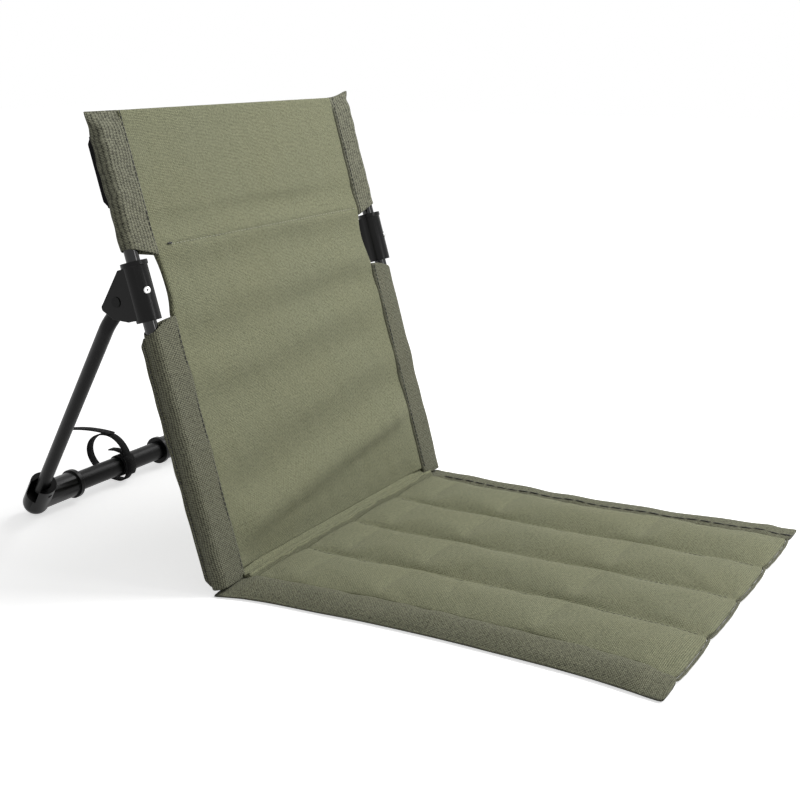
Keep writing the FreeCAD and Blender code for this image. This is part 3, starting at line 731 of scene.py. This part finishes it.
def front_lip():
    """The rolled edge where the pad's two cloths are sewn together in front."""
    x = np.linspace(-1, 1, LIP_STEPS)
    bulge = channel_bulge(x, LIP_POWER)
    around = np.linspace(0, 2 * math.pi, LIP_SIDES, endpoint=False)
    uneven = LIP_UNEVEN * ripples(x * SEAT_HALF_FRONT, 0 * x, 21, 0.02)
    radius = LIP_R * (1 + uneven)[:, None]
    grid = LIP_STEPS, LIP_SIDES
    rings = np.stack([
        np.broadcast_to((x * SEAT_HALF_FRONT)[:, None], grid),
        (SEAT_FRONT - SCALLOP * bulge)[:, None] + radius * np.cos(around),
        LIP_HEIGHT + radius * np.sin(around)], axis=-1)
    uv = np.stack([rings[..., 0], np.broadcast_to(around * LIP_R, grid)], axis=-1)
    dress(hose("seat_front_lip", rings, uv), CLOTH_BORDER, "seat", "border_cloth")


# Back

def notch_bite(up):
    """How far the panel's edge curves in beside a bracket."""
    radius = (NOTCH_HALF ** 2 + NOTCH_DEPTH ** 2) / (2 * NOTCH_DEPTH)
    inside = np.maximum(radius ** 2 - (up - NOTCH_MIDDLE) ** 2, 0)
    return np.maximum(np.sqrt(inside) - (radius - NOTCH_DEPTH), 0)


def inside_edge(x, reach):
    """0 at the panel's side edges, rising to 1 within a reach of them."""
    return np.clip((PANEL_HALF - np.abs(x)) / reach, 0, 1)


def fold_shape(x, up):
    """Soft cross folds of the back: forward and back in turn, the lower ones rising to the sitter's left."""
    level = up - FOLD_SLANT * np.clip(1 - up / FOLD_SLANT_TOP, 0, 1) * x
    depth = np.zeros_like(level)
    for number, (low, high) in enumerate(zip((FOLD_START, *FOLD_ENDS[:-1]), FOLD_ENDS)):
        part = np.clip((level - low) / (high - low), 0, 1)
        depth += np.sin(math.pi * part) * (-1 if number % 2 else 1)
    edge = inside_edge(x, FOLD_EDGE)
    uneven = FOLD_EVEN + FOLD_UNEVEN * ripples(x, up * 2, 31, 0.25)
    belly = BELLY_DEPTH * np.exp(-((level - BELLY_UP) / BELLY_REACH) ** 2) * edge
    return FOLD_DEPTH * depth * uneven * (FOLD_EDGE_SHARE + (1 - FOLD_EDGE_SHARE) * edge) + belly


def panel_front(x, up):
    """How far the panel's front lies ahead of the tube axes."""
    toe = np.clip((FOLD_START - up) / (FOLD_START - PANEL_TOE_UP), 0, 1)
    hollow = HOLLOW_DEPTH * eased(toe, HOLLOW_KEYS, HOLLOW_SHARES) * inside_edge(x, HOLLOW_EDGE)
    within = (x > CROSS_SEAM_ENDS[0]) & (x < CROSS_SEAM_ENDS[1])
    seam = CROSS_SEAM_DEPTH * np.exp(-((up - CROSS_SEAM_UP) / CROSS_SEAM_REACH) ** 2) * within
    wrinkles = WRINKLE_DEPTH * ripples(x, up, 33, 0.06)
    return PANEL_FRONT - hollow + fold_shape(x, up) - seam + wrinkles


def back_panel():
    up = np.linspace(PANEL_TOE_UP, BACK_LENGTH, PANEL_ROWS)
    up = np.sort(np.concatenate([up, CROSS_SEAM_UP + CROSS_SEAM_ROWS]))[:, None]
    across = np.linspace(-1, 1, PANEL_COLUMNS)[None]
    x = across * (PANEL_HALF + PANEL_TUCK - notch_bite(up))
    front = on_back(x, panel_front(x, up), up)
    rear_up = PANEL_REAR_START + (up - PANEL_TOE_UP) * (
        (BACK_LENGTH - PANEL_REAR_START) / (BACK_LENGTH - PANEL_TOE_UP))
    folded = PANEL_REAR + REAR_FOLD_SHARE * fold_shape(x, rear_up)
    deepest = panel_front(x, rear_up) - PANEL_THINNEST
    rear = on_back(x, np.minimum(folded, deepest), rear_up)
    uv = np.stack([x, np.broadcast_to(up, x.shape)], axis=-1)
    piece = slab("back_panel", front, rear, uv)
    rounded(piece)
    dress(piece, CLOTH_SAGE, "backrest", "cloth", "back_front_cloth", "back_foam", "back_rear_cloth")


def sleeve_section(count):
    """Outline of a sleeve across the tube, from the panel's edge round the tube and back, and its flat shape."""
    tip = np.array((PANEL_HALF - SLEEVE_TUCK, PANEL_FRONT))
    centre = np.array((TUBE_X, 0.0))
    away = tip - centre
    base = math.atan2(away[1], away[0])
    turn = math.acos((SLEEVE_R - SLEEVE_LIP) / np.linalg.norm(away))
    angles = np.linspace(base - turn, base + turn - 2 * math.pi, count - 2 * SLEEVE_LEAD_STEPS)
    arc = centre + SLEEVE_R * np.stack([np.cos(angles), np.sin(angles)], axis=-1)
    lead = np.linspace(0, 1, SLEEVE_LEAD_STEPS, endpoint=False)[:, None]
    lip = np.array((0, SLEEVE_LIP))
    front = tip + lip + (arc[0] - tip - lip) * lead
    rear = tip - lip + (arc[-1] - tip + lip) * lead
    loop = np.concatenate([front, arc, rear[::-1]])
    length = lengths(loop)
    reach = tip[0] + np.minimum(length, length[-1] - length)
    layer = np.where(length < length[-1] / 2, EAR_LAYER, -EAR_LAYER)
    return loop, np.stack([reach, EAR_AHEAD + layer], axis=-1), length


def sleeve(side, name, node, ends, flat_top, cloth, seed):
    """A cloth sleeve. Ends are the heights of its inner low, outer low, outer top and inner top corners."""
    loop, flat, length = sleeve_section(SLEEVE_STEPS)
    inner_x, outer_x = loop[:, 0].min(), loop[:, 0].max()
    share = (loop[:, 0] - inner_x) / (outer_x - inner_x)
    low = ends[0] + (ends[1] - ends[0]) * share
    high = ends[3] + (ends[2] - ends[3]) * share ** 2
    part = np.linspace(0, 1, SLEEVE_ROWS)[:, None]
    up = low + (high - low) * part
    press = np.clip(1 - (high - up) / EAR_FLATTEN, 0, 1) if flat_top else np.zeros_like(up)
    press = (press * press * (3 - 2 * press))[..., None]
    outline = loop * (1 - press) + flat * press
    crumple = CRUMPLE * ripples(length, up, seed, 0.05)
    away = outline - np.array((TUBE_X, 0.0))
    away /= np.maximum(np.linalg.norm(away, axis=-1, keepdims=True), 1e-6)
    past_tip = np.clip(share * 4, 0, 1)[None, :, None]
    outline = outline + away * (crumple[..., None] + SLEEVE_LIFT) * past_tip
    follow = (panel_front(side * PANEL_HALF, up) - PANEL_FRONT) * (1 - share) ** 2
    rings = on_back(side * outline[..., 0], outline[..., 1] + follow, up)
    uv = np.stack([np.broadcast_to(length, up.shape), up], axis=-1)
    piece = hose(name, rings, uv, capped=False)
    wall = piece.modifiers.new("cloth", "SOLIDIFY")
    wall.thickness = CLOTH_THICK
    wall.offset = -1
    rounded(piece)
    dress(piece, cloth, "backrest", "border_cloth", node)
    return piece, (length[-1], (high - low).mean())


def seam_flange(side, name, low, high, wide, cloth, slot, seed):
    """The sewn edge that stands off the outer rear side of a sleeve, and the line of its seam."""
    up = np.linspace(low, high, FLANGE_ROWS)[:, None]
    end = np.clip(np.minimum(up - low, high - up) / FLANGE_END, FLANGE_END_SHARE, 1)
    width = wide * end * (1 + FLANGE_UNEVEN * ripples(up, 0 * up, seed, 0.05))
    turn = FLANGE_TURN + FLANGE_UNEVEN * ripples(up, 0 * up, seed + 1, 0.09)
    reach = SLEEVE_R + width * FLANGE_OUT
    lift = FLANGE_SIDE * FLANGE_THICK / 2
    x = TUBE_X + reach * np.cos(turn) + lift * np.sin(turn)
    ahead = -reach * np.sin(turn) + lift * np.cos(turn)
    rings = on_back(side * x, ahead, np.broadcast_to(up, x.shape))
    uv = np.stack([spread(rings, 1), np.broadcast_to(up, x.shape)], axis=-1)
    piece = hose(name, rings, uv)
    rounded(piece)
    dress(piece, cloth, "backrest", slot)
    seam_x, seam_ahead = x[:, FLANGE_SEAM_POINT], ahead[:, FLANGE_SEAM_POINT] + STITCH_LIFT
    return piece, on_back(side * seam_x, seam_ahead, up[:, 0])[2:-2]


def crease_cover():
    """Cloth that runs from the seat through the rolled crease to the back, and closes it from behind."""
    x = np.linspace(-COVER_HALF, COVER_HALF, COVER_STEPS)
    welt = np.stack([np.cos(WELT_TURNS), np.sin(WELT_TURNS)], axis=-1) * WELT_R + WELT_MIDDLE
    toe = on_back(0, COVER_TOE_AHEAD, COVER_TOE_UP)[1:]
    heel = on_back(0, COVER_HEEL_AHEAD, COVER_HEEL_UP)[1:]
    under = np.array([(REAR_LINE_Y + 0.0035, 0.0085), (REAR_LINE_Y - 0.004, 0.0022), (SEAT_REAR, 0.0005)])
    front = np.array([(SEAT_REAR - 0.002, 0.0045)])
    section = np.concatenate([welt, [COVER_VALLEY, toe, heel], under, front])
    wobble = COVER_WOBBLE * ripples(x, 0 * x, 41, 0.09)[:, None]
    outer = np.clip((np.abs(x) - WELT_SINK_FROM) / WELT_SINK_REACH, 0, 1)[:, None]
    sink = WELT_SINK_SHARE * outer * (np.arange(len(section)) < len(welt))
    section = section - sink[..., None] * (section - WELT_SINK)
    rings = np.stack([
        np.broadcast_to(x[:, None], section.shape[:2]),
        section[..., 0] + wobble,
        section[..., 1] + wobble * (section[..., 1] > COVER_WOBBLE_FROM)], axis=-1)
    uv = np.stack([rings[..., 0], spread(rings, 1)], axis=-1)
    piece = hose("crease_cover", rings, uv)
    rounded(piece)
    dress(piece, CLOTH_SAGE, None, "cloth", "crease_welt")
    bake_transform(piece)


# Tie strap

bar_low, bar_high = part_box("crossbar")
BAR = (bar_low + bar_high) / 2
BAR_R = (bar_high.z - bar_low.z) / 2


def quarter(a, b, centre):
    """Points on a quarter ellipse from a to b."""
    t = np.linspace(0, math.pi / 2, STRAP_STEPS, endpoint=False)[:, None]
    centre = np.array(centre)
    return centre + (a - centre) * np.cos(t) + (b - centre) * np.sin(t)


def ribbon(path, width, thick):
    """Rings of a flat band along a path in the plane of Y and Z, with rounded edges."""
    way = np.gradient(path, axis=0)
    way /= np.linalg.norm(way, axis=1, keepdims=True)
    side = np.stack([-way[:, 1], way[:, 0]], axis=-1)
    half, face = width / 2, thick / 2
    flat_half = half - thick * STRAP_RIM
    section = np.array([
        (-half, 0), (-flat_half, face), (0, face), (flat_half, face),
        (half, 0), (flat_half, -face), (0, -face), (-flat_half, -face)])
    flat = path[:, None] + side[:, None] * section[None, :, 1:]
    x = np.broadcast_to(STRAP_X + section[:, 0], flat.shape[:2])
    rings = np.concatenate([x[..., None], flat + np.array((BAR.y, BAR.z))], axis=-1)
    return rings, np.stack([x, np.broadcast_to(lengths(path)[:, None], x.shape)], axis=-1)


def tie_strap():
    wrap_r = BAR_R + STRAP_THICK / 2 + STRAP_CLEARANCE
    rear_y = STRAP_LOOP_WIDTH - wrap_r
    front = np.array((-wrap_r - STRAP_THICK, 0.0))
    top = np.array((rear_y - STRAP_LOOP_WIDTH / 2, BAR_R + STRAP_LOOP_RISE - STRAP_THICK / 2))
    rear = np.array((rear_y, STRAP_LOOP_BULGE))
    low = np.array((0.0, -BAR_R - STRAP_LOOP_HANG))
    loop = np.concatenate([
        quarter(front, top, (top[0], front[1])), quarter(top, rear, (top[0], rear[1])),
        quarter(rear, low, (low[0], rear[1])), quarter(low, front, (low[0], front[1])),
        [front, front + STRAP_LOOP_END]])
    t = np.linspace(0, 1, STRAP_TAIL_STEPS)
    tail = np.stack([
        top[0] - STRAP_TAIL_LAP + (STRAP_TAIL + STRAP_TAIL_LAP) * t,
        top[1] + STRAP_THICK * STRAP_TAIL_LIFT + STRAP_TAIL_SAG * (2.0 * t - 3.0 * t * t)], axis=-1)
    turns = np.linspace(0, 2 * math.pi, WRAP_STEPS)
    wrap = wrap_r * np.stack([np.cos(turns), np.sin(turns)], axis=-1)
    points, faces, uvs, start = [], [], [], 0
    for path, width, thick in (
            (loop, STRAP_WIDTH, STRAP_THICK), (tail, STRAP_WIDTH, STRAP_THICK),
            (wrap, WRAP_WIDTH, STRAP_THICK), (KNOT, KNOT_WIDTH, KNOT_THICK),
            (STUB, STUB_WIDTH, STRAP_THICK)):
        rings, uv = ribbon(path, width, thick)
        rows, cols = rings.shape[:2]
        faces += hose_faces(rows, cols, start)
        points.append(rings.reshape(-1, 3))
        uvs.append(uv.reshape(-1, 2))
        start += rows * cols
    piece = mesh_piece("tie_strap_webbing", np.concatenate(points), faces, np.concatenate(uvs))
    outward(piece)
    dress(piece, WEBBING, "stand", "webbing", "tie_strap")


# Stitches

def stitch_tree():
    """Sews a run of stitches along each chain of edges."""
    tree = bpy.data.node_groups.new("stitch_run", "GeometryNodeTree")
    socket = tree.interface.new_socket
    socket("Seams", in_out="INPUT", socket_type="NodeSocketGeometry")
    for label in ("Pitch", "Length", "Thickness"):
        socket(label, in_out="INPUT", socket_type="NodeSocketFloat")
    socket("Thread", in_out="INPUT", socket_type="NodeSocketMaterial")
    socket("Stitches", in_out="OUTPUT", socket_type="NodeSocketGeometry")
    new, link = tree.nodes.new, tree.links.new
    given, result = new("NodeGroupInput"), new("NodeGroupOutput")
    runs = new("GeometryNodeMeshToCurve")
    steps = new("GeometryNodeResampleCurve")
    steps.mode = "LENGTH"
    tangent = new("GeometryNodeInputTangent")
    turn = new("FunctionNodeAlignRotationToVector")
    turn.axis = "X"
    bead = new("GeometryNodeMeshUVSphere")
    bead.inputs["Segments"].default_value = 6
    bead.inputs["Rings"].default_value = 4
    bead.inputs["Radius"].default_value = 0.5
    size = new("ShaderNodeCombineXYZ")
    sew = new("GeometryNodeInstanceOnPoints")
    solid = new("GeometryNodeRealizeInstances")
    finish = new("GeometryNodeSetMaterial")
    link(given.outputs["Seams"], runs.inputs["Mesh"])
    link(runs.outputs["Curve"], steps.inputs["Curve"])
    link(given.outputs["Pitch"], steps.inputs["Length"])
    link(tangent.outputs[0], turn.inputs["Vector"])
    for label, axis in zip(("Length", "Thickness", "Thickness"), size.inputs):
        link(given.outputs[label], axis)
    link(steps.outputs["Curve"], sew.inputs["Points"])
    link(bead.outputs["Mesh"], sew.inputs["Instance"])
    link(turn.outputs[0], sew.inputs["Rotation"])
    link(size.outputs[0], sew.inputs["Scale"])
    link(sew.outputs[0], solid.inputs[0])
    link(solid.outputs[0], finish.inputs["Geometry"])
    link(given.outputs["Thread"], finish.inputs["Material"])
    link(finish.outputs[0], result.inputs[0])
    return tree


STITCH_RUN = stitch_tree()


def stitches(name, body, slot, material, runs,
             pitch=STITCH_PITCH, length=STITCH_LENGTH, thick=STITCH_THICK):
    points, edges = [], []
    for run in runs:
        start = len(points)
        points += [tuple(p) for p in run]
        edges += [(start + i, start + i + 1) for i in range(len(run) - 1)]
    piece = mesh_piece(name, points, [], edges=edges)
    sew = piece.modifiers.new("stitches", "NODES")
    sew.node_group = STITCH_RUN
    values = {"Pitch": pitch, "Length": length, "Thickness": thick, "Thread": material}
    for item in STITCH_RUN.interface.items_tree:
        if item.name in values:
            sew[item.identifier] = values[item.name]
    result = piece.evaluated_get(bpy.context.evaluated_depsgraph_get())
    piece.data = bpy.data.meshes.new_from_object(result)
    piece.modifiers.clear()
    piece.data.polygons.foreach_set("use_smooth", [True] * len(piece.data.polygons))
    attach(piece, body)


def back_runs(side, spans, ahead):
    """Seam lines up one edge of the back's panel."""
    runs = []
    for low, high in spans:
        up = np.linspace(low, high, 60)
        edge = PANEL_HALF + EDGE_STITCH_OUT - notch_bite(up)
        runs.append(on_back(side * edge, PANEL_FRONT + ahead, up))
    return runs


# Rigid pieces keep their solids and get their finish

def finish_nodes(material, *names):
    for name in names:
        node = frame["nodes"][name]
        node.data.materials.clear()
        node.data.materials.append(material)


def softened(material, body, *names):
    """Stands in for moulded pieces: their triangles joined and their edges rounded off a little."""
    for name in names:
        node = frame["nodes"][name]
        shape = bmesh.new()
        shape.from_mesh(node.data)
        shape.transform(node.matrix_world)
        bmesh.ops.remove_doubles(shape, verts=shape.verts, dist=WELD_DISTANCE)
        bmesh.ops.dissolve_limit(shape, angle_limit=FLAT_ANGLE, verts=shape.verts, edges=shape.edges)
        bmesh.ops.recalc_face_normals(shape, faces=shape.faces)
        piece = mesh_piece("moulded_" + name, [], [])
        shape.to_mesh(piece.data)
        shape.free()
        piece.data.shade_smooth()
        piece.data.set_sharp_from_angle(angle=SHARP_ANGLE)
        edge = piece.modifiers.new("edges", "BEVEL")
        edge.width = EDGE_ROUND
        edge.segments = EDGE_SEGMENTS
        edge.limit_method = "ANGLE"
        edge.angle_limit = BEVEL_ANGLE
        edge.use_clamp_overlap = False
        edge.harden_normals = True
        dress(piece, material, body, "black_plastic", name)


def pair(name):
    return name + "_left", name + "_right"


# Stage

def seen_rays(tree):
    """1 where the backdrop is looked at, directly, mirrored or through something."""
    rays = tree.nodes.new("ShaderNodeLightPath").outputs
    mirrored = math_node(tree, "MAXIMUM", rays["Is Glossy Ray"], rays["Is Transmission Ray"])
    return math_node(tree, "MAXIMUM", rays["Is Camera Ray"], mirrored)


def floor():
    corners = [(x * FLOOR_HALF, y * FLOOR_HALF, FLOOR_HEIGHT) for x, y in ((-1, -1), (1, -1), (1, 1), (-1, 1))]
    piece = mesh_piece("floor", corners, [(0, 1, 2, 3)])
    material, tree, shader = material_of("pale_floor", Roughness=0.9, Specular_IOR_Level=0.0)
    shader.inputs["Base Color"].default_value = (FLOOR_TONE, FLOOR_TONE, FLOOR_TONE, 1)
    glow = math_node(tree, "MULTIPLY", seen_rays(tree), FLOOR_GLOW)
    shader.inputs["Emission Color"].default_value = (1, 1, 1, 1)
    tree.links.new(glow, shader.inputs["Emission Strength"])
    piece.data.materials.append(material)


def sky():
    world = bpy.data.worlds.new("studio")
    world.use_nodes = True
    tree = world.node_tree
    glow = math_node(tree, "MULTIPLY", seen_rays(tree), SKY_SEEN - SKY_LIGHT)
    background = tree.nodes["Background"]
    background.inputs["Color"].default_value = (1, 1, 1, 1)
    tree.links.new(math_node(tree, "ADD", SKY_LIGHT, glow), background.inputs["Strength"])
    bpy.context.scene.world = world


def lamp(name, kind, place, target, power, **settings):
    light = bpy.data.lights.new(name, kind)
    light.energy = power
    for label, value in settings.items():
        setattr(light, label, value)
    piece = bpy.data.objects.new(name, light)
    way = Vector(place) - Vector(target)
    piece.matrix_world = Matrix.Translation(place) @ way.to_track_quat("Z", "Y").to_matrix().to_4x4()
    bpy.context.scene.collection.objects.link(piece)


def camera():
    data = bpy.data.cameras.new("camera")
    data.lens = LENS
    data.clip_start = NEAR_CLIP
    piece = bpy.data.objects.new("camera", data)
    a, e, r = CAMERA_AZIMUTH, CAMERA_ELEVATION, CAMERA_ROLL
    back = Vector((math.sin(a) * math.cos(e), -math.cos(a) * math.cos(e), math.sin(e)))
    right = Vector((math.cos(a), math.sin(a), 0))
    up = back.cross(right)
    across = right * math.cos(r) + up * math.sin(r)
    above = up * math.cos(r) - right * math.sin(r)
    turn = Matrix((across, above, back)).transposed().to_4x4()
    piece.matrix_world = Matrix.Translation(CAMERA_PLACE) @ turn
    bpy.context.scene.collection.objects.link(piece)
    bpy.context.scene.camera = piece


camera()
sky()
floor()
lamp("key", "SUN", place=(1.5, -0.75, 1.45), target=(0, 0, 0), power=1.15, angle=0.6)
lamp("top", "AREA", place=(0.4, -0.36, 1.06), target=(0.05, 0.25, 0.28), power=7.8, size=0.45)
lamp("glint", "AREA", place=(0.06, -0.95, 0.6), target=(-0.19, 0.27, 0.25), power=1.8,
     shape="RECTANGLE", size=0.25, size_y=0.35)

seams = seat_pad()
seat_hem(-1, "seat_hem_near", "seat_hem_right", HEM_NEAR)
far_seam = seat_hem(1, "seat_hem_far", "seat_hem_left", HEM_FAR)
front_lip()
back_panel()
crease_cover()
flange_lines = []
for sign, hand, ear in ((1, "left", EAR_RISE_LEFT), (-1, "right", EAR_RISE_RIGHT)):
    ends = SLEEVE_FOOT, SLEEVE_FOOT, SLEEVE_GAP_LOW, SLEEVE_GAP_LOW + SLEEVE_SLANT
    low, cut = sleeve(sign, "sleeve_low_" + hand, "lower_sleeve_" + hand, ends,
                      flat_top=False, cloth=CLOTH_BORDER, seed=51 + sign)
    flange, line = seam_flange(
        sign, "sleeve_low_flange_" + hand, SLEEVE_FOOT + FLANGE_LOW_GAP, SLEEVE_GAP_LOW - FLANGE_HIGH_GAP,
        FLANGE_WIDTH, CLOTH_BORDER, "border_cloth", seed=71)
    flange_lines.append(line)
    ends = SLEEVE_GAP_HIGH - SLEEVE_SLANT, SLEEVE_GAP_HIGH, BACK_LENGTH + ear, BACK_LENGTH
    high, cut = sleeve(sign, "sleeve_high_" + hand, "upper_sleeve_" + hand, ends,
                       flat_top=True, cloth=CLOTH_RIB, seed=61 + sign)
    # A thin black strip stands off the outer rear of each upper sleeve, along the dark line there
    black_strip, _ = seam_flange(sign, "sleeve_high_black_strip_" + hand, *BLACK_STRIP_ENDS,
                             BLACK_STRIP_WIDTH, WEBBING, "webbing", seed=75)
tie_strap()

lifted = np.array((0, 0, STITCH_LIFT))
stitches("seat_channel_stitches", "seat", "cloth", THREAD_SEAT,
         [seams[2:-2, i] + lifted for i in range(1, CHANNELS)])
stitches("seat_border_stitches", "seat", "border_cloth", THREAD_BLACK, [far_seam[1:-8] + lifted],
         **BORDER_STITCH)
spans = ((EDGE_STITCH_FOOT, SLEEVE_GAP_LOW + EDGE_STITCH_GAP),
         (SLEEVE_GAP_HIGH - EDGE_STITCH_GAP, EDGE_STITCH_TOP))
stitches("back_edge_stitches", "backrest", "border_cloth", THREAD_BLACK,
         back_runs(1, spans, EDGE_STITCH_AHEAD_LEFT) + back_runs(-1, spans, EDGE_STITCH_AHEAD_RIGHT)
         + flange_lines, **EDGE_STITCH)
tack = np.linspace(*TACK_ENDS, 6)
stitches("back_bar_tack", "backrest", "cloth", THREAD_BLACK,
         [on_back(tack, panel_front(tack, CROSS_SEAM_UP) + TACK_AHEAD, CROSS_SEAM_UP + TACK_UP)],
         **TACK_STITCH)
cross = np.linspace(*CROSS_SEAM_ENDS, 120)
stitches("back_cross_stitches", "backrest", "cloth", THREAD_SAGE,
         [on_back(cross, panel_front(cross, CROSS_SEAM_UP) + CROSS_STITCH_AHEAD, CROSS_SEAM_UP)])

finish_nodes(TUBE_GLOSS, *pair("back_tube"))
finish_nodes(TUBE_SATIN, *pair("leg"), "crossbar")
finish_nodes(PLASTIC, *pair("tube_foot_cap"), *pair("tube_top_cap"))
softened(PLASTIC, "backrest", *pair("bracket"))
softened(PLASTIC, "stand", *pair("foot"))
finish_nodes(STEEL, "bracket_rivets")
finish_nodes(PIN_STEEL, *pair("leg_pin"), "foot_pins")

bpy.context.scene.view_settings.view_transform = "Standard"
